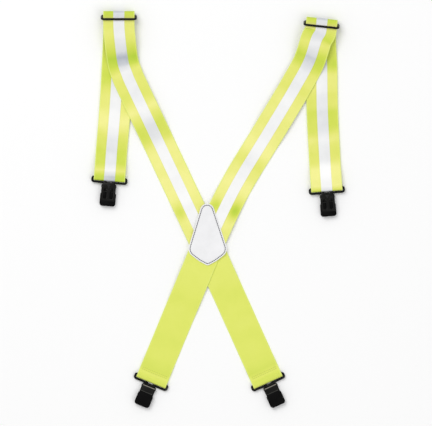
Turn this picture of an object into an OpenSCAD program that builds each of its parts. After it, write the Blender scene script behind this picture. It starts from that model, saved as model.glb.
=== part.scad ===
// High-visibility X-back work braces, laid flat with the outer face of the back up.
// X runs across the wearer, Y from the rear clips up to the shoulder folds, Z up from the table.
// The origin is the middle of the laid-out outline, on the table. All sizes are in millimetres.

/* [Straps] */
// Width of the webbing and of the elastic
strap_w = 50.8; // [44:0.4:52]
// Thickness of one ply of webbing or elastic
strap_t = 1.25; // [1:0.05:1.3]
// Width of the silver reflective tape
tape_w = 18; // [10:1:24]
// Thickness of the reflective tape
tape_t = 0.3; // [0.2:0.05:0.35]
// Length of the left and the right rear elastic, from the crossing to the bar that it hangs on
elastic_len = [233.8, 236.8]; // [200:0.2:260]
// Length of the sewn-back hem of the elastic
hem_len = 22; // [18:1:26]

/* [Layout] */
// Where the straps cross, under the patch
crossing = [-17.5, -59]; // [-60:0.5:60]
// Lean of the left and the right rear elastic from the Y axis, in degrees
rear_lean = [22.5, 24.2]; // [18:0.1:28]
// Middle of the left adjuster's centre bar
left_adjuster = [-160.4, 311.5]; // [-320:0.1:320]
// Middle of the right adjuster's centre bar
right_adjuster = [167.6, 299.7]; // [-320:0.1:320]
// Turn of the left and the right adjuster about Z, in degrees
adjuster_turn = [0, -6.2]; // [-10:0.1:10]
// Middle of the bar that the left front strap hangs on
left_front_bar = [-175.6, 51.7]; // [-320:0.1:320]
// Middle of the bar that the right front strap hangs on
right_front_bar = [176, 35.1]; // [-320:0.1:320]
// Turn of the left and the right front clip about Z, in degrees
front_turn = [-4.9, 4.3]; // [-10:0.1:10]

/* [Patch] */
// Thickness of the leather
leather_t = 1.5; // [1:0.1:1.55]
// Half the patch's width
patch_half_w = 31; // [28:0.5:34]
// From the crossing up to the patch's round top
patch_up = 69; // [60:1:75]
// From the crossing down to the patch's point
patch_down = 32; // [28:1:36]
// From the patch's edge in to its stitching
stitch_in = 2.5; // [2:0.1:4]

/* [Wire parts] */
// Diameter of the coated wire
wire_d = 3.6; // [3:0.1:3.6]
// Play between a strap and the frame round it, both sides together
strap_play = 0.8; // [0.4:0.1:2]
// Distance between neighbouring bars of the adjuster
bar_pitch = 9; // [9:0.1:10]
// Lean of the adjuster from upright, in degrees
adjuster_lean = 20; // [16:1:24]
// Distance between the two bars of a clip's wire loop
loop_pitch = 7.6; // [7.6:0.1:9]
// From the bar that a strap hangs on to the middle of the fold beyond it
fold_slack = 2.2; // [1:0.1:2.2]
// Depth of the dip in the loop's lower bar, where the clip rides
dip = 2.6; // [1.5:0.1:2.6]

/* [Clips] */
// Width of the base plate
plate_w = 23.4; // [22:0.2:26]
// Thickness of the stamped plates
plate_t = 1.2; // [0.8:0.1:1.2]
// Width of the lever's grip pad
pad_w = 25.6; // [24:0.2:28]
// From the loop's dip to the end of the jaws
clip_len = 35.6; // [34:0.2:40]
// Diameter of the hinge pin
pin_d = 2; // [1.6:0.1:2.2]

/* [Hidden] */
$fn = 48;
LEFT = 0;
RIGHT = 1;
SIDES = ["left", "right"];
CLIPS = ["rear_left", "rear_right", "front_left", "front_right"];
CLIP_PARTS = ["wire_loop", "base_plate", "hinge_pin", "leaf_spring", "base_pad", "lever", "lever_pad"];
STRAP_PARTS = ["webbing_back", "tape_back", "webbing_fold", "tape_fold", "webbing_outer", "tape_outer",
    "webbing_turn", "tape_turn", "webbing_inner", "tape_inner", "end_stitching", "adjuster",
    "elastic", "hem_stitching"];

// Heights, from the table up
ply_gap = 0.1;                                   // between layers that lie on each other
end_gap = 0.3;                                   // between one length of webbing and the next
wire_r = wire_d / 2;
bar_play = 0.05;                                 // between a wire and the ply round it
turn_r = wire_r + bar_play + strap_t / 2;        // middle of the ply round a bar
turn_out = turn_r + strap_t / 2;
tape_mid = strap_t / 2 + 0.04 + tape_t / 2;      // middle of the tape, from the middle of its ply
adjuster_z = wire_r + bar_pitch * cos(adjuster_lean);
fold_r = (bar_pitch * cos(adjuster_lean) + turn_out) / 2 - wire_r / 2 + 0.1;
fold_reach = 4.8;                                // from the centre bar to the middle of the fold
fold_arm = 9;                                    // straight stretch of the fold, back over the bars
turn_arm = 8;                                    // straight stretch of the turn round a clip's bar
rear_z = turn_out;                               // axis of a rear clip, outer face up
front_z = 5;                                     // axis of a front clip, outer face down
floor_ply = strap_t / 2 + 0.05;
outer_ply = floor_ply + tape_t + 0.05;
inner_ply = outer_ply + strap_t + 0.25;
over_ply = inner_ply + strap_t + tape_t + 0.25;
cross_low = leather_t + ply_gap + strap_t / 2;
cross_high = cross_low + strap_t + tape_t + ply_gap;
patch_z = cross_high + strap_t / 2 + tape_t + 0.12;

// Routes of the straps over the table, from the crossing to the adjuster and from there to the front bar
back_route = [
    [[-51, 13], [-96, 109], [-139, 200], [-147.5, 220], [-154, 240], [-158.5, 275]],
    [[12, 5], [38, 54], [74, 113], [103, 161], [126, 200], [147, 239], [159, 275]]
];
front_route = [
    [[-163, 230], [-167, 160], [-172, 100]],
    [[168, 230], [169, 160], [172, 100]]
];

// Small helpers

function unit(v) = v / norm(v);
function heading(turn) = [-sin(turn), cos(turn)];
function smooth(u) = let (c = min(1, max(0, u))) c * c * (3 - 2 * c);

// Height at distance s along a strap, easing between stations of [distance, height]
function height(s, st, i = 0) =
    i >= len(st) - 2 || s <= st[i + 1][0]
        ? st[i][1] + (st[i + 1][1] - st[i][1]) * smooth((s - st[i][0]) / (st[i + 1][0] - st[i][0]))
        : height(s, st, i + 1);

// A smooth plan curve through points p that leaves along d0 and arrives along d1
function curve(p, d0, d1, steps = 8) =
    let (
        n = len(p) - 1,
        m = [for (i = [0:n]) i == 0 ? d0 * norm(p[1] - p[0])
            : i == n ? d1 * norm(p[n] - p[n - 1]) : (p[i + 1] - p[i - 1]) / 2]
    )
    [for (i = [0:n - 1], k = [0:i == n - 1 ? steps : steps - 1])
        let (u = k / steps, v = u - 1)
        p[i] * (1 + 2 * u) * v * v + m[i] * u * v * v + p[i + 1] * u * u * (3 - 2 * u) + m[i + 1] * u * u * v];

function lengths(p) = [for (i = 0, s = 0; i < len(p); s = s + (i < len(p) - 1 ? norm(p[i + 1] - p[i]) : 0),
    i = i + 1) s];

// A stretch of strap: points of [x, y, z, heading x, heading y], where the heading is the strap's own
// direction over the table, towards the adjuster. d0 and d1 are its headings at the two ends
function laid(p, st, d0, d1, ahead = 1) =
    let (s = lengths(p), n = len(p) - 1)
    [for (i = [0:n])
        let (h = i == 0 ? d0 : i == n ? d1 : unit(p[i + 1] - p[i - 1]) * ahead)
        [p[i].x, p[i].y, height(s[i], st), h.x, h.y]];

// Points of a strap bent in the upright plane through a bar: y is along the heading, z from the table
function bent(origin, turn, yz) =
    let (h = heading(turn))
    [for (q = yz) [origin.x + h.x * q[0], origin.y + h.y * q[0], q[1], h.x, h.y]];

// Half turn round [y, z], from above it (1) or below it (-1) by way of the side that faces along y * to
function half_turn(y, z, r, from, to, steps = 16) =
    [for (k = [0:steps]) let (a = 180 * k / steps) [y + to * r * sin(a), z + from * r * cos(a)]];

function adjuster_at(side) = side == LEFT ? left_adjuster : right_adjuster;
function front_bar_at(side) = side == LEFT ? left_front_bar : right_front_bar;
function rear_turn(side) = side == LEFT ? -rear_lean[0] : rear_lean[1];
function along(point, turn, y) = point + heading(turn) * y;

// The webbing's own course, from the crossing over the adjuster, down to the front clip and back

function back_run(side) =
    let (
        turn = adjuster_turn[side],
        last = along(adjuster_at(side), turn, -fold_arm - end_gap),
        start = crossing + [0, 0.25],
        leave = unit(back_route[side][0] - start),
        plan = curve(concat([start], back_route[side], [last]), leave, heading(turn)),
        s = lengths(plan),
        total = s[len(s) - 1],
        z = side == LEFT ? cross_low : cross_high,
        patch_end = side == LEFT ? [[0, z], [67, z], [102, floor_ply]]
            : [[0, z], [49, z], [74, cross_low + tape_t], [112, floor_ply]],
        top_z = adjuster_z + fold_r
    )
    laid(plan, concat(patch_end, [[total - 210, floor_ply], [total - 165, over_ply], [total - 72, over_ply],
        [total - 21, top_z - 1], [total, top_z]]), leave, heading(turn));

function fold_run(side) =
    bent(adjuster_at(side), adjuster_turn[side],
        concat([[-fold_arm, adjuster_z + fold_r]], half_turn(fold_reach, adjuster_z, fold_r, 1, 1),
            [[-fold_arm, adjuster_z - fold_r]]));

function front_plan(side, from_y) =
    let (
        top = along(adjuster_at(side), adjuster_turn[side], from_y),
        end = along(front_bar_at(side), front_turn[side], turn_arm + end_gap)
    )
    curve(concat([top], front_route[side], [end]), -heading(adjuster_turn[side]), -heading(front_turn[side]));

function outer_run(side) =
    let (plan = front_plan(side, -fold_arm - end_gap), s = lengths(plan), total = s[len(s) - 1])
    laid(plan, [[0, adjuster_z - fold_r], [32, outer_ply], [total - 30, outer_ply], [total, front_z - turn_r]],
        heading(adjuster_turn[side]), heading(front_turn[side]), -1);

function turn_run(side) =
    bent(front_bar_at(side), front_turn[side],
        concat([[turn_arm, front_z - turn_r]], half_turn(-fold_slack, front_z, turn_r, -1, -1),
            [[turn_arm, front_z + turn_r]]));

join_y = -12;                                    // where the two plies of the sewn end meet
end_y = -25;                                     // the sewn end's raw edge
join_z = adjuster_z + strap_t / 2 + ply_gap / 2;
rise = 46;                                       // run over which the inner ply climbs to the adjuster
flap_z = inner_ply + (join_z - inner_ply) * smooth(1 - (join_y - end_y) / rise) - strap_t - ply_gap;
function flap_under(y) = let (z = 2 * adjuster_z - join_z)
    z + (flap_z - z) * (y - join_y) / (end_y - join_y) - tape_mid - tape_t / 2;
function inner_run(side) =
    let (
        down = front_plan(side, join_y),
        plan = [for (i = [len(down) - 1:-1:0]) down[i]],
        s = lengths(plan),
        total = s[len(s) - 1],
        body = laid(plan, [[0, front_z + turn_r], [38, inner_ply], [total - rise, inner_ply], [total, join_z]],
            heading(front_turn[side]), heading(adjuster_turn[side]))
    )
    concat(body, bent(adjuster_at(side), adjuster_turn[side],
        concat([[join_y / 2, adjuster_z + (turn_r + join_z - adjuster_z) / 2]],
            half_turn(0, adjuster_z, turn_r, 1, 1),
            [[join_y / 2, adjuster_z - (turn_r + join_z - adjuster_z) / 2], [join_y, 2 * adjuster_z - join_z],
                [end_y, flap_z]])));

// A flat strip that follows a run: t thick, its middle raised by off on the webbing's outer face, with its
// edges and the lines between its columns at distances xs from the middle. Its ends are cut upright, and
// mitre squares the first end to the X axis
module strip(run, xs, t, off = 0, mitre = false) {
    n = len(run) - 1;
    m = len(xs);
    rings = [for (i = [0:n])
        let (
            p = [run[i][0], run[i][1], run[i][2]],
            a = run[max(0, i - 1)],
            b = run[min(n, i + 1)],
            h = [run[i][3], run[i][4], 0],
            step = [b[0] - a[0], b[1] - a[1], b[2] - a[2]],
            end = i == 0 || i == n,
            along = end ? h * sign(step * h) : unit(step),
            side = [-h.y, h.x, 0],
            face = unit(cross(along, side)),
            reach = mitre && i == 0 ? [-1 / h.y, 0, 0] : side
        )
        [for (c = [-1, 1], x = xs) p + reach * x + face * (off + c * t / 2)]];
    points = [for (ring = rings, p = ring) p];
    ring = 2 * m;
    skin = [for (i = [0:n - 1], k = [0:m - 2])
        let (a = ring * i + k, b = a + m)
        each [[a, a + 1, a + 1 + ring], [a, a + 1 + ring, a + ring],
            [b + 1 + ring, b + 1, b], [b + ring, b + 1 + ring, b]]];
    edges = [for (i = [0:n - 1])
        let (a = ring * i, b = a + m - 1)
        each [[a, a + ring, a + m], [a + ring, a + m + ring, a + m],
            [b, b + m, b + ring], [b + ring, b + m, b + m + ring]]];
    ends = [for (k = [0:m - 2])
        let (z = ring * n + k)
        each [[k, k + m, k + 1], [k + 1, k + m, k + m + 1],
            [z, z + 1, z + m], [z + 1, z + m + 1, z + m]]];
    polyhedron(points, concat(skin, edges, ends), convexity = 6);
}

tape_columns = [-tape_w / 2, tape_w / 2];
module webbing(run, mitre = false) color("yellowgreen")
    strip(run, concat([-strap_w / 2], tape_columns, [strap_w / 2]), strap_t, 0, mitre);
module tape(run, mitre = false) color("silver") strip(run, tape_columns, tape_t, tape_mid, mitre);

// Thread, as plain bars across a strap at distances ys from a bar, on the strap's upper face
module thread_rows(ys, z, w) color("darkolivegreen")
    for (y = ys) translate([-w / 2, y - 0.4, z]) cube([w, 0.8, 0.3]);

hem_rise = 11;                                   // from the fold to where the elastic starts to climb

// Rear elastic: straight over the table, so it is drawn from the side and pulled across its width

function elastic_line(side) =
    let (
        z = side == LEFT ? cross_high : cross_low,
        cross_end = side == LEFT
            ? [[0, z], [48, z], [88, floor_ply + strap_t + tape_t + ply_gap], [128, floor_ply]]
            : [[0, z], [48, z], [85, floor_ply]],
        lap = 1.5 * strap_t + ply_gap,
        len = elastic_len[side] + fold_slack,
        st = concat(cross_end, [[len - 42, floor_ply], [len - hem_len - 2, lap],
            [len - hem_rise, lap], [len - fold_slack - 1.2, rear_z + turn_r], [len, rear_z + turn_r]]),
        step = len / 96
    )
    concat([for (s = [-30:step:0]) [-s, z]], [for (s = [step:step:len]) [-s, height(s, st)]],
        [for (k = half_turn(-len, rear_z, turn_r, 1, -1)) if (k[1] < rear_z + turn_r - 0.001) k],
        [[hem_len - len, rear_z - turn_r]]);

// Outline of a ply of thickness t round an open line
function ply(line, t) =
    let (
        n = len(line) - 1,
        out = [for (i = [0:n])
            let (d = unit(line[min(n, i + 1)] - line[max(0, i - 1)])) [-d[1], d[0]] * t / 2]
    )
    concat([for (i = [0:n]) line[i] + out[i]], [for (i = [n:-1:0]) line[i] - out[i]]);

module at_rear(side) translate([crossing.x, crossing.y, 0]) rotate([0, 0, rear_turn(side)]) children();

module elastic(side) color("greenyellow") intersection() {
    at_rear(side) rotate([90, 0, 90]) translate([0, 0, -strap_w / 2]) linear_extrude(strap_w)
        polygon(ply(elastic_line(side), strap_t));
    translate([crossing.x - 200, crossing.y - 0.25 - 400, -5]) cube([400, 400, 30]);
}

module hem_stitching(side) at_rear(side) {
    top = 2 * strap_t + ply_gap + 0.03;
    thread_rows([for (y = [1.6, 4.6]) hem_rise + y - elastic_len[side] - fold_slack], top, strap_w - 4);
}

module end_stitching(side) color("darkolivegreen")
    translate([adjuster_at(side).x, adjuster_at(side).y, 0]) rotate([0, 0, adjuster_turn[side]])
        for (y = [-14.5, -17.5]) translate([2 - strap_w / 2, y - 0.4, flap_under(y) - 0.45])
            cube([strap_w - 4, 0.8, 0.3]);

// Leather patch, one piece on each face of the crossing

module patch_outline(inset = 0) offset(delta = -inset) hull() {
    translate([0, patch_up - 11.5]) circle(11.5, $fn = 32);
    for (x = [-1, 1]) translate([x * (patch_half_w - 14), -4]) circle(14, $fn = 32);
    translate([0, 5 - patch_down]) circle(5, $fn = 32);
}

module patch(z) color("whitesmoke") translate([crossing.x, crossing.y, z])
    linear_extrude(leather_t) patch_outline();

module patch_stitching() color("dimgray") translate([crossing.x, crossing.y, patch_z + leather_t + 0.02])
    linear_extrude(0.35) difference() {
        patch_outline(stitch_in - 0.4);
        patch_outline(stitch_in + 0.4);
    }

// Wire parts

loop_w = strap_w + strap_play + wire_d;          // width between the middles of a frame's side wires

module rod(a, b, r = wire_r) {
    d = b - a;
    translate(a) rotate([0, acos(d.z / norm(d)), atan2(d.y, d.x)]) cylinder(h = norm(d), r = r);
}

// Three-bar slide adjuster, its centre bar on the X axis and its top bar towards the patch
module adjuster(side) {
    corner = 4;
    half = loop_w / 2;
    at = adjuster_at(side);
    color("black") translate([at.x, at.y, adjuster_z]) rotate([0, 0, adjuster_turn[side]])
        rotate([adjuster_lean, 0, 0]) {
            rod([-half, 0, 0], [half, 0, 0]);
            for (s = [-1, 1]) {
                rod([corner - half, 0, s * bar_pitch], [half - corner, 0, s * bar_pitch]);
                rod([s * half, 0, corner - bar_pitch], [s * half, 0, bar_pitch - corner]);
            }
            for (x = [0, 1], z = [0, 1]) mirror([x, 0, 0]) mirror([0, 0, z])
                translate([half - corner, 0, bar_pitch - corner]) rotate([90, 0, 0])
                    rotate_extrude(angle = 90) translate([corner, 0]) circle(wire_r);
        }
}

// Clip parts, outer face up: the loop's dip is on the X axis, the strap lies towards +Y, the jaws towards -Y

tab_w = 7;                                       // width of the base plate's hook round the dip
curl_in = wire_r + 0.1;
curl_out = curl_in + plate_t;
plate_z = -curl_out;                             // inner face of the base plate
plate_top = 4.4;                                 // the plate's upper edge, beyond the loop's lower bar
pin_y = -3.9;
pin_z = 1.4;
knuckle_r = 2.2;
lever_w = 20.4;
ear_t = 1.2;
pad_top = 5;                                     // outer face of the lever's pad
neck_y = -12.6;                                  // where the lever's pad begins
jaw_y = -15;                                     // where the pads are at their full width
lip_y = -27.4;                                   // where the base pad's lip begins
slot_x = 5.2;                                    // from the middle to each slot of the base plate

module at_clip(i) {
    side = i % 2;
    front = i > 1;
    turn = front ? front_turn[side] : rear_turn(side);
    bar = front ? front_bar_at(side) : along(crossing, turn, -elastic_len[side]);
    at = along(bar, turn, -loop_pitch - dip);
    translate([at.x, at.y, front ? front_z : rear_z]) rotate([0, front ? 180 : 0, turn]) children();
}

module wire_loop() color("black") {
    corner = 2.1;
    low_corner = 3;
    half = loop_w / 2 - corner;
    low_half = loop_w / 2 - low_corner;
    flat = tab_w / 2 + 0.3;
    swing = 45;
    bend = dip / (2 - 2 * cos(swing));           // radius of the two bends on each side of the dip
    run = 2 * bend * sin(swing);
    rod([-half, dip + loop_pitch, 0], [half, dip + loop_pitch, 0]);
    rod([-flat, 0, 0], [flat, 0, 0]);
    for (x = [0, 1]) mirror([x, 0, 0]) {
        translate([flat, bend, 0]) rotate([0, 0, -90])
            rotate_extrude(angle = swing) translate([bend, 0]) circle(wire_r);
        translate([flat + run, dip - bend, 0]) rotate([0, 0, 90])
            rotate_extrude(angle = swing) translate([bend, 0]) circle(wire_r);
        rod([flat + run, dip, 0], [low_half, dip, 0]);
        translate([low_half, dip + low_corner, 0]) rotate([0, 0, -90])
            rotate_extrude(angle = 90) translate([low_corner, 0]) circle(wire_r);
        rod([loop_w / 2, dip + low_corner, 0], [loop_w / 2, dip + loop_pitch - corner, 0]);
        translate([half, dip + loop_pitch - corner, 0])
            rotate_extrude(angle = 90) translate([corner, 0]) circle(wire_r);
    }
}

module plate_outline() {
    corner = 1.6;
    shoulder = 0.3;
    top_w = 19.4;
    translate([-top_w / 2, -1]) square([top_w, plate_top - corner + 1]);
    translate([corner - top_w / 2, plate_top - corner - 0.01]) square([top_w - 2 * corner, corner + 0.01]);
    translate([-plate_w / 2, lip_y]) square([plate_w, shoulder - lip_y - corner]);
    translate([corner - plate_w / 2, shoulder - corner - 0.01]) square([plate_w - 2 * corner, corner + 0.01]);
    for (s = [-1, 1]) {
        translate([s * (plate_w / 2 - corner), shoulder - corner]) circle(corner);
        translate([s * (top_w / 2 - corner), plate_top - corner]) circle(corner);
    }
}

module slot(w, y0, y1) {
    translate([-w / 2, y1 + w / 2]) square([w, y0 - y1 - w]);
    for (y = [y0 - w / 2, y1 + w / 2]) translate([0, y]) circle(w / 2);
}

module base_plate() color("dimgray") {
    difference() {
        translate([0, 0, plate_z]) linear_extrude(plate_t) difference() {
            plate_outline();
            polygon([[-3.4, -0.8], [3.4, -0.8], [0, -6.6]]);
            for (s = [-1, 1]) translate([s * slot_x, 0]) slot(5.4, -6.8, -24.2);
        }
        translate([-tab_w / 2 - 0.3, curl_in, plate_z - 1]) cube([tab_w + 0.6, plate_top, plate_t + 2]);
        rotate([0, 90, 0]) translate([0, 0, -tab_w]) cylinder(h = 2 * tab_w, r = curl_in);
    }
    difference() {
        rotate([0, 90, 0]) translate([0, 0, -tab_w / 2]) cylinder(h = tab_w, r = curl_out);
        rotate([0, 90, 0]) translate([0, 0, -tab_w]) cylinder(h = 2 * tab_w, r = curl_in);
        translate([-tab_w, -5, plate_z + plate_t]) cube([2 * tab_w, 4.6, 2 * curl_out]);
        translate([-tab_w, -5, plate_z - 1]) cube([2 * tab_w, 4, plate_t + 1]);
    }
    for (s = [-1, 1]) translate([s * (plate_w - ear_t) / 2, 0, 0]) rotate([0, 90, 0])
        translate([0, 0, -ear_t / 2]) difference() {
            union() {
                translate([-pin_z, pin_y]) cylinder(h = ear_t, r = knuckle_r);
                translate([-pin_z, pin_y - knuckle_r, 0]) cube([pin_z - plate_z, 2 * knuckle_r, ear_t]);
            }
            translate([-pin_z, pin_y, -1]) cylinder(h = ear_t + 2, r = pin_d / 2 + 0.02);
        }
}

module hinge_pin() color("silver") translate([0, pin_y, pin_z]) rotate([0, 90, 0]) {
    half = plate_w / 2 + 0.02;
    translate([0, 0, -half]) cylinder(h = 2 * half, r = pin_d / 2);
    for (s = [-1, 1]) translate([0, 0, s * (half + 0.3) - 0.3]) cylinder(h = 0.6, r = pin_d / 2 + 0.5);
}

module leaf_spring() color("silver") {
    r = 9;
    rise = 0.98;
    top = pin_z - knuckle_r - 0.05;
    translate([-4, pin_y - 1.3, top - r]) rotate([90, 0, 90]) linear_extrude(8) intersection() {
        difference() {
            circle(r, $fn = 96);
            circle(r - 0.4, $fn = 96);
        }
        translate([-r, r - rise]) square([2 * r, rise + 1]);
    }
}

module lever() color("dimgray") {
    difference() {
        union() {
            translate([-lever_w / 2, pin_y, pin_z]) rotate([0, 90, 0]) cylinder(h = lever_w, r = knuckle_r);
            translate([-lever_w / 2, 4 - clip_len, pin_z + knuckle_r - 1]) cube([lever_w, clip_len - 4 + pin_y, 1]);
        }
        translate([-lever_w, pin_y, pin_z]) rotate([0, 90, 0]) cylinder(h = 2 * lever_w, r = pin_d / 2 + 0.08);
    }
}

module pad_outline(w, y0, y1, top_r, end_r) {
    for (s = [-1, 1]) {
        translate([s * (w / 2 - top_r), y0 - top_r]) circle(top_r);
        translate([s * (w / 2 - end_r), y1 + end_r]) circle(end_r);
    }
    translate([-w / 2, y1 + end_r]) square([w, y0 - y1 - top_r - end_r]);
    translate([top_r - w / 2, y0 - top_r - 0.01]) square([w - 2 * top_r, top_r + 0.01]);
    translate([end_r - w / 2, y1]) square([w - 2 * end_r, end_r + 0.01]);
}

module lever_pad() color([0.08, 0.08, 0.08]) difference() {
    bevel = 0.8;
    neck_w = lever_w + 1.4;
    union() {
        translate([0, 0, -0.2]) linear_extrude(pad_top + 0.2 - bevel) {
            pad_outline(pad_w, jaw_y, -clip_len, 1.6, 4.5);
            pad_outline(neck_w, neck_y, jaw_y - 4, 1, 1);
        }
        translate([0, 0, pad_top - bevel]) linear_extrude(bevel) {
            pad_outline(pad_w - 2 * bevel, jaw_y - bevel, bevel - clip_len, 1.2, 4);
            pad_outline(neck_w - 2 * bevel, neck_y - bevel, jaw_y - 4, 0.6, 0.6);
        }
    }
    translate([-lever_w / 2 - 0.05, 4 - clip_len - 0.05, pin_z + knuckle_r - 1.05])
        cube([lever_w + 0.1, clip_len, 1.1]);
}

module base_pad() color([0.08, 0.08, 0.08]) {
    seat = plate_z + plate_t + 0.03;
    top = -0.75;
    translate([0, 0, seat]) linear_extrude(top - seat) pad_outline(plate_w - 1.4, neck_y, -clip_len, 1, 4.5);
    translate([0, 0, plate_z]) linear_extrude(top - plate_z)
        intersection() {
            pad_outline(plate_w, -20, -clip_len, 1, 4.5);
            translate([-plate_w, -clip_len]) square([2 * plate_w, clip_len + lip_y - 0.05]);
        }
    for (s = [-1, 1]) translate([s * slot_x, 0, plate_z + 0.3])
        linear_extrude(plate_t) slot(2.4, neck_y - 0.6, -22.8);
    for (y = [jaw_y - 2:-2.4:2 - clip_len]) translate([-9, y - 0.4, top - 0.01]) cube([18, 0.8, 0.36]);
}

module clip_part(part) {
    if (part == "wire_loop") wire_loop();
    if (part == "base_plate") base_plate();
    if (part == "hinge_pin") hinge_pin();
    if (part == "leaf_spring") leaf_spring();
    if (part == "base_pad") base_pad();
    if (part == "lever") lever();
    if (part == "lever_pad") lever_pad();
}

module strap_part(part, side) {
    if (part == "webbing_back") webbing(back_run(side), true);
    if (part == "tape_back") tape(back_run(side), true);
    if (part == "webbing_fold") webbing(fold_run(side));
    if (part == "tape_fold") tape(fold_run(side));
    if (part == "webbing_outer") webbing(outer_run(side));
    if (part == "tape_outer") tape(outer_run(side));
    if (part == "webbing_turn") webbing(turn_run(side));
    if (part == "tape_turn") tape(turn_run(side));
    if (part == "webbing_inner") webbing(inner_run(side));
    if (part == "tape_inner") tape(inner_run(side));
    if (part == "end_stitching") end_stitching(side);
    if (part == "adjuster") adjuster(side);
    if (part == "elastic") elastic(side);
    if (part == "hem_stitching") hem_stitching(side);
}

patch(patch_z);  // patch_outer
patch(0);  // patch_inner
patch_stitching();
for (part = STRAP_PARTS, side = [LEFT, RIGHT])
    strap_part(part, side);
for (part = CLIP_PARTS, i = [0:3])
    at_clip(i) clip_part(part);
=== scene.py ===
"""X-back work suspenders laid flat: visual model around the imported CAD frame, in metres."""

import math

import bmesh
import bpy
import numpy as np
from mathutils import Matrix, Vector


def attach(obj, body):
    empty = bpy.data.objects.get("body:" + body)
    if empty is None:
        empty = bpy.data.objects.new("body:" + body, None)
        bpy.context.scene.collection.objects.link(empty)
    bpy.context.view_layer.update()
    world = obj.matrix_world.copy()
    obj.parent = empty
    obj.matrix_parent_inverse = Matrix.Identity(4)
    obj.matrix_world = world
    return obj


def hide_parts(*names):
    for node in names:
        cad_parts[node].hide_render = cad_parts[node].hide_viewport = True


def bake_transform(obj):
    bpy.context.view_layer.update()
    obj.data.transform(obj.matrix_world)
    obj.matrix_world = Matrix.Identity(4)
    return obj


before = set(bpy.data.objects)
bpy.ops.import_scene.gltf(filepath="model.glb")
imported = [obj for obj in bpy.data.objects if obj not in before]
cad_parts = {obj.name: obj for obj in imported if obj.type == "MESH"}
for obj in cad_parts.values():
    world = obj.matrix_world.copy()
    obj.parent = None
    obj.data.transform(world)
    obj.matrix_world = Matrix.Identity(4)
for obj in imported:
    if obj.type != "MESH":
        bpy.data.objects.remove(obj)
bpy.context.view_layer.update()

MM = 0.001
SIDES = ("left", "right")
CLIPS = ("rear_left", "rear_right", "front_left", "front_right")

# Sizes shared with the CAD source, in millimetres
STRAP_W = 50.8
STRAP_T = 1.25
TAPE_W = 18.0
TAPE_T = 0.3
ELASTIC_LEN = (233.8, 236.8)
HEM_LEN = 22.0
CROSSING = np.array([-17.5, -59.0])
REAR_TURN = (-22.5, 24.2)
ADJUSTER = (np.array([-160.4, 311.5]), np.array([167.6, 299.7]))
ADJUSTER_TURN = (0.0, -6.2)
FRONT_BAR = (np.array([-175.6, 51.7]), np.array([176.0, 35.1]))
FRONT_TURN = (-4.9, 4.3)
LEATHER_T = 1.5
PATCH_HALF_W = 31.0
PATCH_UP = 69.0
PATCH_DOWN = 32.0
STITCH_IN = 2.5
WIRE_R = 1.8
BAR_PITCH = 9.0
LEAN = math.radians(20)
PLY_GAP = 0.1
END_GAP = 0.3
TURN_R = WIRE_R + 0.05 + STRAP_T / 2
TURN_OUT = TURN_R + STRAP_T / 2
TAPE_MID = STRAP_T / 2 + 0.04 + TAPE_T / 2
ADJUSTER_Z = WIRE_R + BAR_PITCH * math.cos(LEAN)
FOLD_R = (BAR_PITCH * math.cos(LEAN) + TURN_OUT) / 2 - WIRE_R / 2 + 0.1
FOLD_REACH = 4.8
FOLD_ARM = 9.0
TURN_ARM = 8.0
REAR_Z = TURN_OUT
FRONT_Z = 5.0
FLOOR_PLY = STRAP_T / 2 + 0.05
OUTER_PLY = FLOOR_PLY + TAPE_T + 0.05
INNER_PLY = OUTER_PLY + STRAP_T + 0.25
OVER_PLY = INNER_PLY + STRAP_T + TAPE_T + 0.25
CROSS_LOW = LEATHER_T + PLY_GAP + STRAP_T / 2
CROSS_HIGH = CROSS_LOW + STRAP_T + TAPE_T + PLY_GAP
PATCH_Z = CROSS_HIGH + STRAP_T / 2 + TAPE_T + 0.12
JOIN_Y = -12.0
END_Y = -25.0
JOIN_Z = ADJUSTER_Z + STRAP_T / 2 + PLY_GAP / 2
RISE = 46.0
HEM_RISE = 11.0
FOLD_SLACK = 2.2

BACK_ROUTE = (
    [(-51, 13), (-96, 109), (-139, 200), (-147.5, 220), (-154, 240), (-158.5, 275)],
    [(12, 5), (38, 54), (74, 113), (103, 161), (126, 200), (147, 239), (159, 275)],
)
FRONT_ROUTE = (
    [(-163, 230), (-167, 160), (-172, 100)],
    [(168, 230), (169, 160), (172, 100)],
)


# Camera, light and floor

VIEW_WIDTH = 432 * 1.62 * MM  # picture width in pixels times millimetres a pixel
CAMERA_HEIGHT = 12.0  # high enough that the raised adjusters shift by less than a pixel
FLOOR_REACH = 6.0

camera = bpy.data.objects.new("camera", bpy.data.cameras.new("camera"))
bpy.context.scene.collection.objects.link(camera)
camera.data.sensor_width = 36
camera.data.lens = 36 * CAMERA_HEIGHT / VIEW_WIDTH
camera.location = (-0.0032, -0.0051, CAMERA_HEIGHT)
camera.data.clip_end = 40
bpy.context.scene.camera = camera


def area_light(name, location, size, power):
    """A disk light aimed at the origin."""
    light = bpy.data.lights.new(name, "AREA")
    light.shape = "DISK"
    light.size = size
    light.energy = power
    obj = bpy.data.objects.new(name, light)
    obj.location = location
    obj.rotation_euler = (-Vector(location)).to_track_quat("-Z", "Y").to_euler()
    bpy.context.scene.collection.objects.link(obj)


area_light("key", (-1.6, 2.0, 3.8), 3.2, 84)
area_light("fill", (1.8, -1.6, 3.2), 2.8, 25)
world = bpy.data.worlds.new("studio")
bpy.context.scene.world = world
world.use_nodes = True
world.node_tree.nodes["Background"].inputs[0].default_value = (1, 1, 1, 1)
world.node_tree.nodes["Background"].inputs[1].default_value = 0.6
bpy.context.scene.view_settings.view_transform = "Standard"

floor_mesh = bpy.data.meshes.new("floor")
corners = [(x * FLOOR_REACH, y * FLOOR_REACH, 0) for x, y in ((-1, -1), (1, -1), (1, 1), (-1, 1))]
floor_mesh.from_pydata(corners, [], [(0, 1, 2, 3)])
floor = bpy.data.objects.new("floor", floor_mesh)
floor.location.z = -0.0002
bpy.context.scene.collection.objects.link(floor)


# Material helpers


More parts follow.
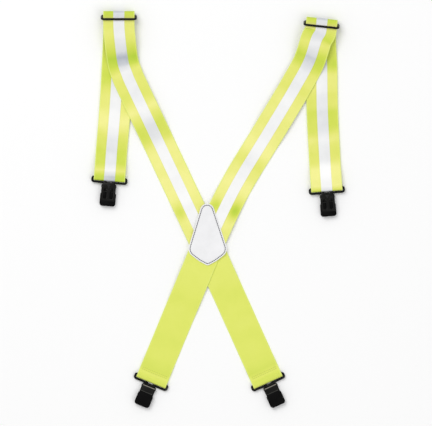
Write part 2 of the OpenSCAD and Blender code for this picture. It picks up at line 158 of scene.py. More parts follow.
def srgb(r, g, b):
    def linear(v):
        v /= 255
        return v / 12.92 if v <= 0.04045 else ((v + 0.055) / 1.055) ** 2.4

    return (linear(r), linear(g), linear(b), 1)


class Paint:
    """A node material, built by small steps."""

    def __init__(self, name, color, roughness, **sockets):
        self.material = bpy.data.materials.new(name)
        self.material.use_nodes = True
        self.tree = self.material.node_tree
        self.shader = self.tree.nodes["Principled BSDF"]
        self.shader.inputs["Base Color"].default_value = color
        self.shader.inputs["Roughness"].default_value = roughness
        for key, value in sockets.items():
            self.shader.inputs[key.replace("_", " ")].default_value = value

    def node(self, kind, **values):
        node = self.tree.nodes.new(kind)
        for key, value in values.items():
            setattr(node, key, value)
        return node

    def link(self, a, b):
        self.tree.links.new(a, b)

    def math(self, operation, a, b=None):
        node = self.node("ShaderNodeMath", operation=operation)
        for socket, value in zip(node.inputs, (a, b)):
            if value is None:
                continue
            if isinstance(value, (int, float)):
                socket.default_value = value
            else:
                self.link(value, socket)
        return node.outputs[0]

    def place(self):
        """Object coordinates, in metres."""
        return self.node("ShaderNodeTexCoord").outputs["Object"]

    def strap(self):
        """Millimetres across and along the strap, and its painted highlight and shade value."""
        node = self.node("ShaderNodeAttribute", attribute_name="strap")
        split = self.node("ShaderNodeSeparateXYZ")
        self.link(node.outputs["Vector"], split.inputs[0])
        return split.outputs

    def noise(self, scale, detail, rough=0.5):
        node = self.node("ShaderNodeTexNoise")
        node.inputs["Scale"].default_value = scale
        node.inputs["Detail"].default_value = detail
        node.inputs["Roughness"].default_value = rough
        self.link(self.place(), node.inputs["Vector"])
        return node.outputs[0]

    def ramp(self, value, *stops):
        node = self.node("ShaderNodeValToRGB")
        elements = node.color_ramp.elements
        while len(elements) < len(stops):
            elements.new(0.5)
        for element, (position, color) in zip(elements, stops):
            element.position = position
            element.color = color if len(color) == 4 else (*color, 1)
        self.link(value, node.inputs[0])
        return node.outputs[0]

    def mix(self, factor, a, b):
        node = self.node("ShaderNodeMix", data_type="RGBA")
        for socket, value in ((node.inputs[0], factor), (node.inputs[6], a), (node.inputs[7], b)):
            if isinstance(value, (int, float, tuple)):
                socket.default_value = value
            else:
                self.link(value, socket)
        return node.outputs[2]

    def color(self, value):
        self.link(value, self.shader.inputs["Base Color"])

    def rough(self, value, low, high):
        node = self.node("ShaderNodeMapRange")
        node.inputs["To Min"].default_value = low
        node.inputs["To Max"].default_value = high
        self.link(value, node.inputs["Value"])
        self.link(node.outputs[0], self.shader.inputs["Roughness"])

    def bump(self, height, distance, strength=1.0, below=None):
        node = self.node("ShaderNodeBump")
        node.inputs["Strength"].default_value = strength
        node.inputs["Distance"].default_value = distance
        self.link(height, node.inputs["Height"])
        if below is not None:
            self.link(below, node.inputs["Normal"])
        self.link(node.outputs[0], self.shader.inputs["Normal"])
        return node.outputs[0]


# The cloth's lime from painted shade (GREEN) through LIME and YELLOW to painted highlight (PALE)
GREEN = srgb(186, 214, 46)
LIME = srgb(212, 226, 74)
YELLOW = srgb(234, 236, 112)
PALE = srgb(252, 248, 150)
EDGE = srgb(234, 246, 130)
SELVEDGE = 1.7
TAPE_EDGE = 0.5


def woven(name, ribs, rib_depth, warp, sheen, painted_light_stops, roughness):
    """Lime cloth: weft ribs and warp lines at pitches in millimetres, lighter selvedges and drifting tone,
    with painted highlight and shade along the strap and painted shade in the rib hollows.
    """
    paint = Paint(name, LIME, roughness, Sheen_Weight=sheen, Sheen_Roughness=0.35, Specular_IOR_Level=0.25)
    across, along, tone = paint.strap()
    stops = [(i / (len(painted_light_stops) - 1), c) for i, c in enumerate(painted_light_stops)]
    drift = paint.math("MULTIPLY", paint.math("SUBTRACT", paint.noise(46, 3), 0.5), 0.3)
    # The strap's painted highlight and shade, with a random drift, picks a colour from the stops
    base = paint.ramp(paint.math("ADD", tone, drift), *stops)
    edge = paint.math("GREATER_THAN", paint.math("ABSOLUTE", across), STRAP_W / 2 - SELVEDGE)
    base = paint.mix(paint.math("MULTIPLY", edge, 0.6), base, EDGE)
    rib = paint.math("SINE", paint.math("MULTIPLY", along, 2 * math.pi / ribs))
    yarn = paint.math("SINE", paint.math("MULTIPLY", across, 2 * math.pi / warp))
    crossed = paint.math("MULTIPLY", rib, yarn)
    fine = paint.noise(2600, 2)
    shade = paint.math("ADD", paint.math("MULTIPLY", rib, 0.5), paint.math("MULTIPLY", crossed, 0.5))
    # Painted shade in the hollows between the weave's ribs
    painted_rib_shade = paint.math("MULTIPLY", paint.math("SUBTRACT", 1.0, shade), 0.07)
    base = paint.mix(painted_rib_shade, base, srgb(120, 150, 20))
    base = paint.mix(paint.math("MULTIPLY", fine, 0.08), base, srgb(245, 250, 190))
    paint.color(base)
    paint.rough(fine, roughness - 0.06, roughness + 0.1)
    first = paint.bump(shade, rib_depth * MM)
    paint.bump(fine, 0.05 * MM, 0.5, first)
    return paint.material


# Each material's colour stops run from painted shade to painted highlight
WEBBING = woven("webbing_lime", 1.15, 0.07, 0.9, 0.1, (GREEN, LIME, YELLOW, PALE), 0.42)
ELASTIC = woven(
    "elastic_lime", 1.5, 0.12, 1.9, 0.08, (srgb(214, 228, 84), srgb(231, 238, 104), srgb(240, 244, 124)), 0.6
)


def reflective():
    paint = Paint("tape_silver", srgb(236, 237, 240), 0.38, Metallic=0.1)
    across, _, tone = paint.strap()
    patchy = paint.math("MULTIPLY", paint.math("SUBTRACT", paint.noise(70, 3), 0.5), 0.3)
    # The strap's painted highlight and shade with random patches; the ramp paints the tape greyer where it is
    # shaded
    painted_shine = paint.math("ADD", tone, patchy)
    base = paint.ramp(painted_shine, (0, srgb(172, 179, 190)), (0.3, srgb(222, 224, 226)), (0.9, srgb(250, 250, 249)))
    beads = paint.node("ShaderNodeTexVoronoi")
    beads.inputs["Scale"].default_value = 2400
    paint.link(paint.place(), beads.inputs["Vector"])
    base = paint.mix(paint.math("MULTIPLY", beads.outputs[0], 0.12), base, srgb(190, 192, 198))
    edge = paint.math("GREATER_THAN", paint.math("ABSOLUTE", across), TAPE_W / 2 - TAPE_EDGE)
    base = paint.mix(paint.math("MULTIPLY", edge, 0.35), base, srgb(214, 218, 190))
    paint.color(base)
    paint.rough(paint.noise(160, 3), 0.3, 0.46)
    first = paint.bump(beads.outputs[0], 0.03 * MM, 0.6)
    paint.bump(paint.noise(320, 3), 0.06 * MM, 0.6, first)
    return paint.material


def leather(name, tint):
    paint = Paint(name, tint, 0.5)
    pores = paint.node("ShaderNodeTexVoronoi")
    pores.inputs["Scale"].default_value = 1100
    paint.link(paint.place(), pores.inputs["Vector"])
    cloud = paint.noise(55, 4)
    base = paint.ramp(cloud, (0.3, tuple(c * 0.93 for c in tint[:3])), (0.7, tint))
    base = paint.mix(paint.math("MULTIPLY", pores.outputs[0], 0.1), base, srgb(205, 203, 198))
    paint.color(base)
    paint.rough(paint.noise(420, 3), 0.42, 0.6)
    first = paint.bump(pores.outputs[0], 0.06 * MM, 0.5)
    paint.bump(paint.noise(700, 4), 0.08 * MM, 0.4, first)
    return paint.material


def thread(name, tint):
    paint = Paint(name, tint, 0.6, Sheen_Weight=0.3)
    twist = paint.node("ShaderNodeTexWave")
    twist.inputs["Scale"].default_value = 900
    twist.inputs["Distortion"].default_value = 1.5
    paint.link(paint.place(), twist.inputs["Vector"])
    # Darker along the twist's grooves: painted shade
    paint.color(paint.ramp(twist.outputs[1], (0, tuple(c * 0.7 for c in tint[:3])), (1, tint)))
    paint.bump(twist.outputs[1], 0.06 * MM)
    return paint.material


def coated(name, tint, roughness, wear, grain, gloss, painted_highlights=(), **sockets):
    """Black coated metal or moulded plastic: fine texture, faintly rubbed patches and optional painted
    highlight bands.
    """
    paint = Paint(name, tint, roughness, Specular_IOR_Level=gloss, **sockets)
    rubbed = paint.ramp(paint.noise(150, 4, rough=0.6), (0.5, (0, 0, 0)), (0.75, (1, 1, 1)))
    base = paint.mix(paint.math("MULTIPLY", rubbed, wear), tint, srgb(64, 62, 58))
    if painted_highlights:
        # Painted highlight bands at given distances along the lever
        reach = paint.node("ShaderNodeAttribute", attribute_name="reach").outputs["Fac"]
        for at, spread, tone in painted_highlights:
            off = paint.math("DIVIDE", paint.math("ABSOLUTE", paint.math("SUBTRACT", reach, at)), spread)
            highlight_share = paint.math("MAXIMUM", paint.math("SUBTRACT", 1.4, off), 0)
            base = paint.mix(paint.math("MINIMUM", highlight_share, 1), base, tone)
    paint.color(base)
    paint.rough(paint.noise(420, 3), roughness - 0.06, roughness + 0.1)
    paint.bump(paint.noise(grain, 2), 0.012 * MM, 0.5)
    return paint.material


TAPE = reflective()
LEATHER = leather("leather_white", srgb(245, 245, 247))
LEATHER_UNDER = leather("leather_under", srgb(228, 227, 224))
THREAD_GREY = thread("thread_grey", srgb(80, 78, 86))
THREAD_LIME = thread("thread_lime", srgb(198, 214, 70))
WIRE = coated("wire_black", srgb(5, 5, 6), 0.3, 0.03, 900, 0.16)
# Painted highlights along the lever's length: a bright line on the knuckle and a fainter grey one where the
# cheeks step in
LEVER_PAINTED_HIGHLIGHTS = ((101.6, 0.7, srgb(150, 145, 136)), (91.3, 0.6, srgb(88, 88, 84)))
PLATE = coated("plate_black", srgb(13, 13, 11), 0.3, 0.15, 900, 0.15, LEVER_PAINTED_HIGHLIGHTS)
PAD = coated("pad_black", srgb(4, 4, 4), 0.5, 0.04, 1300, 0.07)
STEEL = coated("pin_steel", srgb(110, 108, 106), 0.32, 0.3, 1200, 0.5, Metallic=0.9)
SPRING = coated("spring_steel", srgb(20, 20, 22), 0.4, 0.2, 1200, 0.4)
FLOOR = Paint("floor_pale", srgb(252, 252, 252), 0.9).material
floor.data.materials.append(FLOOR)


# Routes of the straps, as in the CAD source, in millimetres

CURVE_STEPS = 24
TURN_STEPS = 20


def unit(v):
    v = np.asarray(v, float)
    return v / np.linalg.norm(v)


def heading(turn):
    return np.array([-math.sin(math.radians(turn)), math.cos(math.radians(turn))])


def smooth(u):
    c = np.clip(u, 0, 1)
    return c * c * (3 - 2 * c)


def height(s, stations):
    """The height at distance s, eased between stations of distance and height."""
    for (s0, z0), (s1, z1) in zip(stations, stations[1:]):
        if s <= s1 or s1 == stations[-1][0]:
            return z0 + (z1 - z0) * smooth((s - s0) / (s1 - s0))


def curve(points, start, end):
    """A smooth line through points, with given headings at its two ends."""
    points = [np.asarray(p, float) for p in points]
    last = len(points) - 1
    slopes = [(points[min(i + 1, last)] - points[max(i - 1, 0)]) / 2 for i in range(last + 1)]
    slopes[0] = start * np.linalg.norm(points[1] - points[0])
    slopes[-1] = end * np.linalg.norm(points[-1] - points[-2])
    out = []
    for i in range(last):
        for k in range(CURVE_STEPS + (i == last - 1)):
            u = k / CURVE_STEPS
            v = u - 1
            out.append(
                points[i] * (1 + 2 * u) * v * v
                + slopes[i] * u * v * v
                + points[i + 1] * u * u * (3 - 2 * u)
                + slopes[i + 1] * u * u * v
            )
    return np.array(out)


def lengths(points):
    return np.concatenate([[0], np.cumsum(np.linalg.norm(np.diff(points, axis=0), axis=1))])


def laid(plan, stations, first, last, ahead=1):
    """Points of a strap over the table: x, y, z and its heading towards the adjuster."""
    s = lengths(plan)
    end = len(plan) - 1
    rows = []
    for i, p in enumerate(plan):
        h = first if i == 0 else last if i == end else unit(plan[i + 1] - plan[i - 1]) * ahead
        rows.append([p[0], p[1], height(s[i], stations(s[-1])), h[0], h[1]])
    return rows


def bent(origin, turn, yz):
    """Points of a strap that turns in the upright plane along its heading."""
    h = heading(turn)
    return [[origin[0] + h[0] * y, origin[1] + h[1] * y, z, h[0], h[1]] for y, z in yz]


def half_turn(y, z, r, start, side):
    """Half a circle of y, z points, from above (start 1) or below (-1), round the side of +y or -y."""
    angles = [math.pi * k / TURN_STEPS for k in range(TURN_STEPS + 1)]
    return [(y + side * r * math.sin(a), z + start * r * math.cos(a)) for a in angles]


def along(point, turn, y):
    return point + heading(turn) * y


# Height of the sewn end's tip, under the inner ply
FLAP_Z = INNER_PLY + (JOIN_Z - INNER_PLY) * smooth(1 - (JOIN_Y - END_Y) / RISE) - STRAP_T - PLY_GAP


def back_run(side):
    turn = ADJUSTER_TURN[side]
    last = along(ADJUSTER[side], turn, -FOLD_ARM)
    start = CROSSING + np.array([0, 0.25])
    leave = unit(BACK_ROUTE[side][0] - start)
    plan = curve([start, *BACK_ROUTE[side], last], leave, heading(turn))
    z = CROSS_LOW if side == 0 else CROSS_HIGH
    patch_end = [(0, z), (67, z), (102, FLOOR_PLY)]
    if side == 1:
        patch_end = [(0, z), (49, z), (74, CROSS_LOW + TAPE_T), (112, FLOOR_PLY)]
    top = ADJUSTER_Z + FOLD_R

    def stations(total):
        over = [(total - 210, FLOOR_PLY), (total - 165, OVER_PLY), (total - 72, OVER_PLY)]
        return patch_end + over + [(total - 21, top - 1), (total, top)]

    return laid(plan, stations, leave, heading(turn))


def fold_run(side):
    loop = half_turn(FOLD_REACH, ADJUSTER_Z, FOLD_R, 1, 1)
    return bent(ADJUSTER[side], ADJUSTER_TURN[side], loop + [(-FOLD_ARM, ADJUSTER_Z - FOLD_R)])


def front_plan(side, from_y):
    top = along(ADJUSTER[side], ADJUSTER_TURN[side], from_y)
    end = along(FRONT_BAR[side], FRONT_TURN[side], TURN_ARM + END_GAP)
    return curve([top, *FRONT_ROUTE[side], end], -heading(ADJUSTER_TURN[side]), -heading(FRONT_TURN[side]))


def outer_run(side):
    def stations(total):
        return [(0, ADJUSTER_Z - FOLD_R), (32, OUTER_PLY), (total - 30, OUTER_PLY), (total, FRONT_Z - TURN_R)]

    plan = front_plan(side, -FOLD_ARM - END_GAP)
    return laid(plan, stations, heading(ADJUSTER_TURN[side]), heading(FRONT_TURN[side]), -1)


def turn_run(side):
    return bent(FRONT_BAR[side], FRONT_TURN[side], half_turn(-FOLD_SLACK, FRONT_Z, TURN_R, -1, -1))


def inner_run(side):
    def stations(total):
        return [(0, FRONT_Z + TURN_R), (38, INNER_PLY), (total - RISE, INNER_PLY), (total, JOIN_Z)]

    plan = front_plan(side, JOIN_Y)[::-1]
    body = laid(plan, stations, heading(FRONT_TURN[side]), heading(ADJUSTER_TURN[side]))
    middle = (TURN_R + JOIN_Z - ADJUSTER_Z) / 2
    ends = [(JOIN_Y / 2, ADJUSTER_Z - middle), (JOIN_Y, 2 * ADJUSTER_Z - JOIN_Z), (END_Y, FLAP_Z)]
    loop = [(JOIN_Y / 2, ADJUSTER_Z + middle)] + half_turn(0, ADJUSTER_Z, TURN_R, 1, 1) + ends
    return body + bent(ADJUSTER[side], ADJUSTER_TURN[side], loop)


def elastic_run(side):
    z = CROSS_HIGH if side == 0 else CROSS_LOW
    stations = [(0, z), (48, z), (85, FLOOR_PLY)]
    if side == 0:
        stations = [(0, z), (48, z), (88, FLOOR_PLY + STRAP_T + TAPE_T + PLY_GAP), (128, FLOOR_PLY)]
    lap = 1.5 * STRAP_T + PLY_GAP
    reach = ELASTIC_LEN[side] + FOLD_SLACK
    top = REAR_Z + TURN_R
    stations += [(reach - 42, FLOOR_PLY), (reach - HEM_LEN - 2, lap), (reach - HEM_RISE, lap)]
    stations += [(reach - FOLD_SLACK - 1.2, top), (reach, top)]
    line = [(-s, height(s, stations)) for s in np.linspace(0.3, reach, 160)]
    line += half_turn(-reach, REAR_Z, TURN_R, 1, -1)[1:]
    line += [(HEM_LEN - reach, REAR_Z - TURN_R)]
    return bent(CROSSING, REAR_TURN[side], line)


# Mesh helpers

LAY_STEP = 1.5
THREAD_SIDES = 6
ARCH_POINTS = 7
BEVEL_SEGMENTS = 2
BEVEL_ANGLE = math.radians(32)
SHARP_ANGLE = math.radians(40)


def new_object(name, verts, faces, material):
    mesh = bpy.data.meshes.new(name)
    mesh.from_pydata([tuple(v) for v in verts], [], faces)
    mesh.validate()
    obj = bpy.data.objects.new(name, mesh)
    bpy.context.scene.collection.objects.link(obj)
    mesh.materials.append(material)
    mesh.shade_smooth()
    return obj


def wobble(s, seed, period):
    """A soft, uneven wave along a strap, from -1 to 1."""
    rng = np.random.default_rng(seed)
    total = np.zeros_like(s)
    for weight, scale in ((0.6, 1.0), (0.3, 0.53), (0.2, 2.1)):
        total += weight * np.sin(2 * math.pi * s / (period * scale) + rng.uniform(0, 2 * math.pi))
    return total / 1.1


class Lay:
    """A strap's line with its own frame at each step: place, side, face, distance and painted highlight and
    shade.
    """

    def __init__(self, rows, seed, free, painted_light_stops, lift, period, shade_patches=()):
        rows = np.array(rows, float)
        s = lengths(rows[:, :3])
        keep = np.concatenate([[True], np.diff(s) > 1e-6])
        rows, s = rows[keep], s[keep]
        count = max(2, int(s[-1] / LAY_STEP))
        at = np.linspace(0, s[-1], count)
        self.s = at
        line = np.column_stack([np.interp(at, s, rows[:, k]) for k in range(5)])
        tangent = np.gradient(line[:, :3], at, axis=0)
        tangent /= np.linalg.norm(tangent, axis=1)[:, None]
        self.side = np.column_stack([-line[:, 4], line[:, 3], np.zeros(count)])
        self.side /= np.linalg.norm(self.side, axis=1)[:, None]
        self.face = np.cross(tangent, self.side)
        self.face /= np.linalg.norm(self.face, axis=1)[:, None]
        room = np.interp(at, [p for p, _ in free], [v for _, v in free])
        wave = wobble(at, seed, period)
        self.seed = seed
        self.period = period
        self.shade_patches = shade_patches
        self.painted_light_stops = np.interp(at, [p for p, _ in painted_light_stops], [v for _, v in painted_light_stops])
        self.line = line[:, :3] + self.face * (room * lift * (0.5 + 0.5 * wave))[:, None]

    def tone(self, a, shade_patches):
        """How light the cloth is painted at a (-1 to 1 across), running a little aslant: painted highlight
        and painted shade.
        """
        rng = np.random.default_rng(self.seed + 50)
        shifted = self.s[:, None] + rng.uniform(-6, 6) * a[None, :]
        value = wobble(shifted.ravel(), self.seed + 7, self.period).reshape(shifted.shape)
        value = self.painted_light_stops[:, None] + 0.1 * value
        # Painted shade patches, where given
        for at, off, long, wide, gain in shade_patches:
            lengthwise = np.exp(-(((self.s - at) / long) ** 2))[:, None]
            value = value + gain * lengthwise * np.exp(-(((a - off) / wide) ** 2))
        return np.clip(value, 0, 1)


def band(name, lay, width, thickness, material, offset=0.0, columns=22):
    """A woven strip along a Lay, with rounded, slightly thicker selvedges; a closed mesh."""
    inner = 1 - thickness / width
    a = np.linspace(-inner, inner, columns)
    near = inner - 0.012
    rim = 1 - (1 - inner) * (1 - np.cos(np.linspace(0, math.pi / 2, 4)[:-1]))
    a = np.concatenate([-rim, [-inner, -near], a[1:-1], [near, inner], rim[::-1]])
    edge = np.clip((np.abs(a) - inner) / (1 - inner), 0, 1)
    half = thickness / 2 * np.sqrt(np.clip(1 - edge**2, 0, 1))
    half = half * (1 + 0.14 * np.exp(-(((np.abs(a) - inner) / 0.03) ** 2)))
    n, m = len(lay.s), len(a)
    # Painted highlight and shade for each vertex, kept in the strap attribute for the material
    tone = lay.tone(a * width / STRAP_W, lay.shade_patches if width == STRAP_W else ())
    verts, coords = [], []
    for sign, columns_used in ((1, range(m)), (-1, range(m - 2, 0, -1))):
        for k in columns_used:
            shift = lay.side * (a[k] * width / 2) + lay.face * (offset + sign * half[k])
            verts.append(lay.line + shift)
            coords.append(np.column_stack([np.full(n, a[k] * width / 2), lay.s, tone[:, k]]))
    ring = len(verts)
    verts = np.stack(verts, axis=1).reshape(-1, 3) * MM
    coords = np.stack(coords, axis=1).reshape(-1, 3)
    faces = []
    for i in range(n - 1):
        for k in range(ring):
            j = (k + 1) % ring
            faces.append((i * ring + k, i * ring + j, (i + 1) * ring + j, (i + 1) * ring + k))
    for i in (0, n - 1):
        top = list(range(m))
        low = [0] + list(range(ring - 1, m - 1, -1)) + [m - 1]
        for k in range(m - 1):
            quad = [i * ring + top[k], i * ring + top[k + 1], i * ring + low[k + 1], i * ring + low[k]]
            quad = list(dict.fromkeys(quad))
            faces.append(quad if i == 0 else quad[::-1])
    obj = new_object(name, verts, faces, material)
    strap = obj.data.attributes.new("strap", "FLOAT_VECTOR", "POINT")
    strap.data.foreach_set("vector", coords.astype(np.float32).ravel())
    fix_normals(obj)
    return obj


def fix_normals(obj):
    bm = bmesh.new()
    bm.from_mesh(obj.data)
    bmesh.ops.recalc_face_normals(bm, faces=bm.faces)
    bm.to_mesh(obj.data)
    bm.free()


def stitches(name, pieces, material, radius):
    """Thread showing on a surface: one arched, tapered stitch for each (start, end, up) in millimetres."""
    verts, faces = [], []
    spots = np.linspace(-1, 1, ARCH_POINTS)
    for start, end, up in pieces:
        start, end, up = (np.asarray(v, float) for v in (start, end, up))
        line = unit(end - start)
        across = np.cross(up, line)
        first = len(verts)
        for t in spots:
            arch = (1 - t * t) * radius * 0.9 - radius * 0.5
            middle = start + (end - start) * (t + 1) / 2 + up * arch
            r = radius * (0.35 + 0.65 * math.sqrt(max(0.0, 1 - t**4)))
            for k in range(THREAD_SIDES):
                angle = 2 * math.pi * k / THREAD_SIDES
                verts.append((middle + across * r * math.cos(angle) + up * r * math.sin(angle)) * MM)
        for i in range(len(spots) - 1):
            for k in range(THREAD_SIDES):
                a, b = first + i * THREAD_SIDES + k, first + i * THREAD_SIDES + (k + 1) % THREAD_SIDES
                faces.append((a, b, b + THREAD_SIDES, a + THREAD_SIDES))
        faces.append(tuple(first + k for k in range(THREAD_SIDES))[::-1])
        faces.append(tuple(first + (len(spots) - 1) * THREAD_SIDES + k for k in range(THREAD_SIDES)))
    obj = new_object(name, verts, faces, material)
    fix_normals(obj)
    return obj


def softened(node, material, width):
    """A CAD node's shape with its edges rounded, standing in for the node."""
    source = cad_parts[node]
    bm = bmesh.new()
    bm.from_mesh(source.data)
    bmesh.ops.remove_doubles(bm, verts=bm.verts, dist=2e-6)
    bmesh.ops.dissolve_limit(
        bm, angle_limit=math.radians(1.5), verts=bm.verts, edges=bm.edges, use_dissolve_boundaries=False
    )
    mesh = bpy.data.meshes.new(node + "_soft")
    bm.to_mesh(mesh)
    bm.free()
    obj = bpy.data.objects.new(node + "_soft", mesh)
    bpy.context.scene.collection.objects.link(obj)
    mesh.materials.append(material)
    bevel = obj.modifiers.new("bevel", "BEVEL")
    bevel.width = width * MM
    bevel.segments = BEVEL_SEGMENTS
    bevel.limit_method = "ANGLE"
    bevel.angle_limit = BEVEL_ANGLE
    bevel.harden_normals = False
    bpy.context.view_layer.update()
    graph = bpy.context.evaluated_depsgraph_get()
    mesh = bpy.data.meshes.new_from_object(obj.evaluated_get(graph))
    obj.modifiers.clear()
    obj.data = mesh
    bm = bmesh.new()
    bm.from_mesh(mesh)
    for edge in bm.edges:
        edge.smooth = len(edge.link_faces) == 2 and edge.calc_face_angle(0) < SHARP_ANGLE
    for face in bm.faces:
        face.smooth = True
    bm.to_mesh(mesh)
    bm.free()
    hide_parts(node)
    return obj


# Straps

# How light each strap's cloth looks along it, set against the photo's shading:
# the back from the crossing up, the front back up from its bar, the elastic from the crossing down
# Each stop is a distance and a painted light value: high for a painted highlight, low for painted shade.
BACK_PAINTED_LIGHT = (
    [(0, 0.9), (66, 0.85), (96, 1), (140, 0.9), (168, 0.95), (192, 0.6), (216, 0.4), (246, 0.85), (276, 0.6)]
    + [(312, 0.7), (324, 0.28), (336, 0.1), (348, 0.3), (362, 0.55), (384, 0.7)]
    + [(400, 0.8), (405, 0.25), (414, 0.05), (440, 0.1)],
    [(0, 0.9), (66, 0.85), (92, 0.95), (120, 0.9), (150, 0.7), (190, 1), (216, 0.85), (240, 0.7), (264, 0.9)]
    + [(300, 0.6), (324, 0.75), (338, 0.35), (350, 0.2), (364, 0.5), (374, 0.65)]
    + [(390, 0.35), (405, 0.95), (410, 0.35), (416, 0.15), (445, 0.2)],
)
FRONT_PAINTED_LIGHT = (
    [(0, 0.05), (8, 0.1), (18, 0.85), (30, 0.4), (50, 0.33), (70, 0.6), (98, 0.95), (125, 0.82), (148, 0.62)]
    + [(160, 0.4), (195, 0.3), (215, 0.4), (240, 0.6), (260, 0.5)],
    [(0, 0.3), (10, 1), (28, 1), (45, 0.8), (62, 0.65), (85, 0.75), (108, 0.45), (130, 0.35), (150, 0.7)]
    + [(175, 0.8), (192, 0.7), (206, 0.3), (230, 0.3), (260, 0.45)],
)
# Painted shade patches, greener, above the crossing: along, across (-1 to 1), length, width and how much
BACK_SHADE_PATCHES = ([(68, 0.66, 13, 0.4, -0.42)], [(71, -0.7, 14, 0.42, -0.85), (66, 0.6, 11, 0.35, -0.5)])
# Painted highlight and shade along each elastic, with a painted highlight on the ridge near its turn round
# the clip's bar
ELASTIC_PAINTED_LIGHT = [(0, 0.7), (40, 0.65), (100, 0.48), (150, 0.52), (200, 0.4)]
ELASTIC_PAINTED_LIGHT += [(218, 0.2), (227, 0.7), (234, 0.3), (270, 0.3)]

for side, word in enumerate(SIDES):
    adjuster = "adjuster_" + word
    room = [(0, 0), (105, 0), (125, 1), (300, 1), (345, 0), (900, 0)]
    rows = back_run(side) + fold_run(side)
    back = Lay(rows, 11 + side, room, BACK_PAINTED_LIGHT[side], 0.6, 62, BACK_SHADE_PATCHES[side])
    rows = outer_run(side) + turn_run(side) + inner_run(side)
    middle = len(outer_run(side)) + TURN_STEPS // 2
    bar = lengths(np.array(rows)[:, :3])[middle]
    mirrored = [(bar - s, v) for s, v in FRONT_PAINTED_LIGHT[side][::-1]]
    mirrored += [(bar + s, v) for s, v in FRONT_PAINTED_LIGHT[side]]
    room = [(0, 0), (270, 0), (300, 1), (360, 1), (400, 0), (900, 0)]
    front = Lay(rows, 21 + side, room, mirrored, 0.4, 48)
    start = Vector((*(along(CROSSING, 0, 60) * MM), 0))
    stop = Vector((*(along(ADJUSTER[side], ADJUSTER_TURN[side], -24) * MM), 0))
    front_stop = Vector((*(along(FRONT_BAR[side], FRONT_TURN[side], 16) * MM), 0))
    for kind, lay, a, b, begin, finish, cad in (
        ("back", back, "back", adjuster, start, stop, ("back", "fold")),
        ("front", front, adjuster, "front_end_" + word, stop, front_stop, ("outer", "turn", "inner")),
    ):
        cloth = band(f"webbing_{kind}_{word}_cloth", lay, STRAP_W, STRAP_T, WEBBING)
        stripe = band(f"tape_{kind}_{word}_cloth", lay, TAPE_W, TAPE_T, TAPE, TAPE_MID, 8)
        for piece, prefix, slot in ((cloth, "webbing", "webbing_lime"), (stripe, "tape", "tape_silver")):
            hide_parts(*[f"{prefix}_{part}_{word}" for part in cad])
            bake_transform(piece)
    room = [(0, 0), (128, 0), (145, 1), (165, 1), (190, 0), (900, 0)]
    tail = Lay(elastic_run(side), 31 + side, room, ELASTIC_PAINTED_LIGHT, 0.4, 70)
    elastic = band(f"elastic_{word}_cloth", tail, STRAP_W, STRAP_T, ELASTIC)
    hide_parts(f"elastic_{word}")
    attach(elastic, "back")


# Stitching of the hems and of the sewn ends

PITCH = 3.1
HEM_THREAD_R = 0.36
PATCH_THREAD_R = 0.7


def stitch_row(origin, turn, y, z, half, up):
    """Stitches across a strap at y along its heading from origin."""
    h = np.array([*heading(turn), 0])
    side = np.array([h[1], -h[0], 0])
    middle = np.array([*origin, 0]) + h * y + np.array([0, 0, z])
    count = int(2 * half / PITCH)
    reach = PITCH * 0.36
    out = []
    for k in range(count):
        x = (k - (count - 1) / 2) * PITCH
        out.append((middle + side * (x - reach), middle + side * (x + reach), np.array([0, 0, up])))
    return out


for side, word in enumerate(SIDES):
    rows = []
    for y in (1.6, 4.6):
        at = HEM_RISE + y - ELASTIC_LEN[side] - FOLD_SLACK
        rows += stitch_row(CROSSING, REAR_TURN[side], at, 2 * STRAP_T + PLY_GAP + 0.02, STRAP_W / 2 - 3, 1)
    hem = stitches(f"hem_stitching_{word}_thread", rows, THREAD_LIME, HEM_THREAD_R)
    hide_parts(f"hem_stitching_{word}")
    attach(hem, "back")
    rows = []
    for y in (-14.5, -17.5):
        u = (y - JOIN_Y) / (END_Y - JOIN_Y)
        low = 2 * ADJUSTER_Z - JOIN_Z
        z = low + (FLAP_Z - low) * u - TAPE_MID - TAPE_T / 2
        rows += stitch_row(ADJUSTER[side], ADJUSTER_TURN[side], y, z, STRAP_W / 2 - 3, -1)
    sewn = stitches(f"end_stitching_{word}_thread", rows, THREAD_LIME, HEM_THREAD_R)
    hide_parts(f"end_stitching_{word}")
    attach(sewn, f"adjuster_{word}")


# Leather patch

EDGE_POINTS = 220
SEAM_POINTS = 1440
PUFF_IN = 3.9
SEAM_PITCH = 2.9


def patch_outline(count):
    """The patch's edge: arcs round its circles and the straight runs between them, evenly spaced."""
    lean = 0.8
    circles = [
        (np.array([0, PATCH_UP - 11.5]), 11.5),
        (np.array([lean + 14 - PATCH_HALF_W, -4.0]), 14.0),
        (np.array([lean - 8.5, -15.2]), 10.3),
        (np.array([lean, 6.2 - PATCH_DOWN]), 5.0),
        (np.array([lean + 8.5, -15.2]), 10.3),
        (np.array([lean + PATCH_HALF_W - 14, -4.0]), 14.0),
    ]
    dense = []
    for angle in np.linspace(0, 2 * math.pi, 2880, endpoint=False):
        d = np.array([math.cos(angle + math.pi / 2), math.sin(angle + math.pi / 2)])
        best = max(circles, key=lambda c: c[0] @ d + c[1])
        dense.append(best[0] + d * best[1])
    dense = np.array(dense + dense[:1])
    s = lengths(dense)
    at = np.linspace(0, s[-1], count, endpoint=False)
    return np.column_stack([np.interp(at, s, dense[:, k]) for k in range(2)])


def inward_from(edge):
    """Unit vectors pointing inwards from each point of the patch's edge."""
    following, before = np.roll(edge, -1, axis=0), np.roll(edge, 1, axis=0)
    tangent = following - before
    tangent /= np.linalg.norm(tangent, axis=1)[:, None]
    return np.column_stack([-tangent[:, 1], tangent[:, 0]])


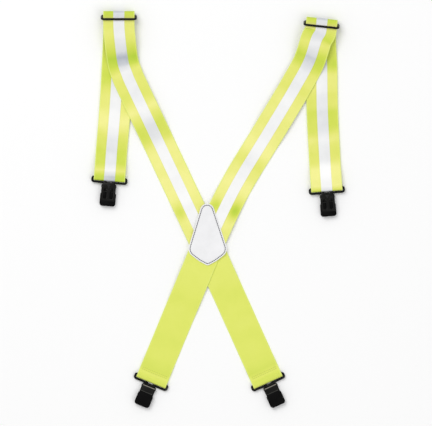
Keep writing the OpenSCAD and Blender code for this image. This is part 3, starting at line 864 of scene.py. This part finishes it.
def patch(name, z, direction, material):
    """A leather piece, pulled in a little along its seam; direction is 1 when its outer face is up."""
    edge = patch_outline(EDGE_POINTS)
    inward = inward_from(edge)
    top = LEATHER_T
    rings = [(0.55, 0), (0.12, 0.12), (0, 0.45), (0, top - 0.5), (0.15, top - 0.16), (0.55, top)]
    rings += [(1.3, top + 0.04), (1.9, top - 0.06), (STITCH_IN, top - 0.2), (3.1, top - 0.06)]
    rings.append((PUFF_IN, top + 0.05))
    verts = []
    for inset, h in rings:
        flat = edge + inward * inset
        verts.append(np.column_stack([flat, np.full(len(flat), h)]))
    flat = edge + inward * PUFF_IN
    centre = np.array([0, 14.0])
    shares = (0.8, 0.6, 0.4, 0.2)
    for share in shares:
        ring = centre + (flat - centre) * share
        puff = 0.05 + 0.12 * (1 - share)
        verts.append(np.column_stack([ring, np.full(len(ring), top + puff)]))
    verts = np.concatenate(verts)
    count = len(edge)
    total = len(rings) + len(shares)
    faces = []
    for i in range(total - 1):
        for k in range(count):
            j = (k + 1) % count
            faces.append((i * count + k, i * count + j, (i + 1) * count + j, (i + 1) * count + k))
    hub = len(verts)
    verts = np.vstack([verts, [[*centre, top + 0.18]], [[*centre, 0]]])
    for k in range(count):
        j = (k + 1) % count
        faces.append(((total - 1) * count + k, (total - 1) * count + j, hub))
        faces.append((j, k, hub + 1))
    verts[:, 2] = z + (verts[:, 2] if direction == 1 else LEATHER_T - verts[:, 2])
    verts[:, :2] += CROSSING
    obj = new_object(name, verts * MM, faces, material)
    fix_normals(obj)
    return obj


def patch_seam(z, up):
    """Stitches all round the patch, just inside its edge."""
    edge = patch_outline(SEAM_POINTS)
    line = edge + inward_from(edge) * STITCH_IN
    closed = np.vstack([line, line[:1]])
    s = lengths(closed)
    count = int(s[-1] / SEAM_PITCH)
    pitch = s[-1] / count
    out = []
    for k in range(count):
        ends = []
        for d in (0.1, pitch - 0.12):
            spot = np.array([np.interp(k * pitch + d, s, closed[:, c]) for c in range(2)])
            ends.append(np.array([*(spot + CROSSING), z]))
        out.append(ends + [np.array([0, 0, up])])
    return out


outer = patch("patch_outer_leather", PATCH_Z, 1, LEATHER)
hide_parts("patch_outer")
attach(outer, "back")
under = patch("patch_inner_leather", 0, -1, LEATHER_UNDER)
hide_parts("patch_inner")
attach(under, "back")
rows = patch_seam(PATCH_Z + LEATHER_T - 0.08, 1)
seam = stitches("patch_stitching_thread", rows, THREAD_GREY, PATCH_THREAD_R)
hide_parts("patch_stitching")
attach(seam, "back")


# Metal and plastic


def mark_reach(lever, clip):
    """Give the lever its distance along the clip from its pin, counted from 100, in millimetres."""
    pin = np.array([v.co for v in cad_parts["hinge_pin_" + clip].data.vertices]).mean(axis=0)
    side = clip.endswith("right")
    h = heading(FRONT_TURN[side] if clip.startswith("front") else REAR_TURN[side])
    reach = 100 + (np.array([v.co for v in lever.data.vertices]) - pin)[:, :2] @ h / MM
    layer = lever.data.attributes.new("reach", "FLOAT", "POINT")
    layer.data.foreach_set("value", reach.astype(np.float32))


def dress(node, material):
    """Give a CAD node that stays showing its material and shading."""
    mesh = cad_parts[node].data
    mesh.materials.clear()
    mesh.materials.append(material)
    mesh.shade_smooth()
    mesh.set_sharp_from_angle(angle=SHARP_ANGLE)


for word in SIDES:
    dress("adjuster_" + word, WIRE)
for clip in CLIPS:
    for part, material in (("wire_loop", WIRE), ("hinge_pin", STEEL), ("leaf_spring", SPRING)):
        dress(f"{part}_{clip}", material)
    for part, material, body, slot, width in (
        ("base_plate", PLATE, "clip", "plate_black", 0.2),
        ("base_pad", PAD, "clip", "pad_black", 0.15),
        ("lever", PLATE, "lever", "plate_black", 0.15),
        ("lever_pad", PAD, "lever", "pad_black", 0.3),
    ):
        piece = softened(f"{part}_{clip}", material, width)
        if part == "lever":
            mark_reach(piece, clip)
        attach(piece, f"{body}_{clip}")
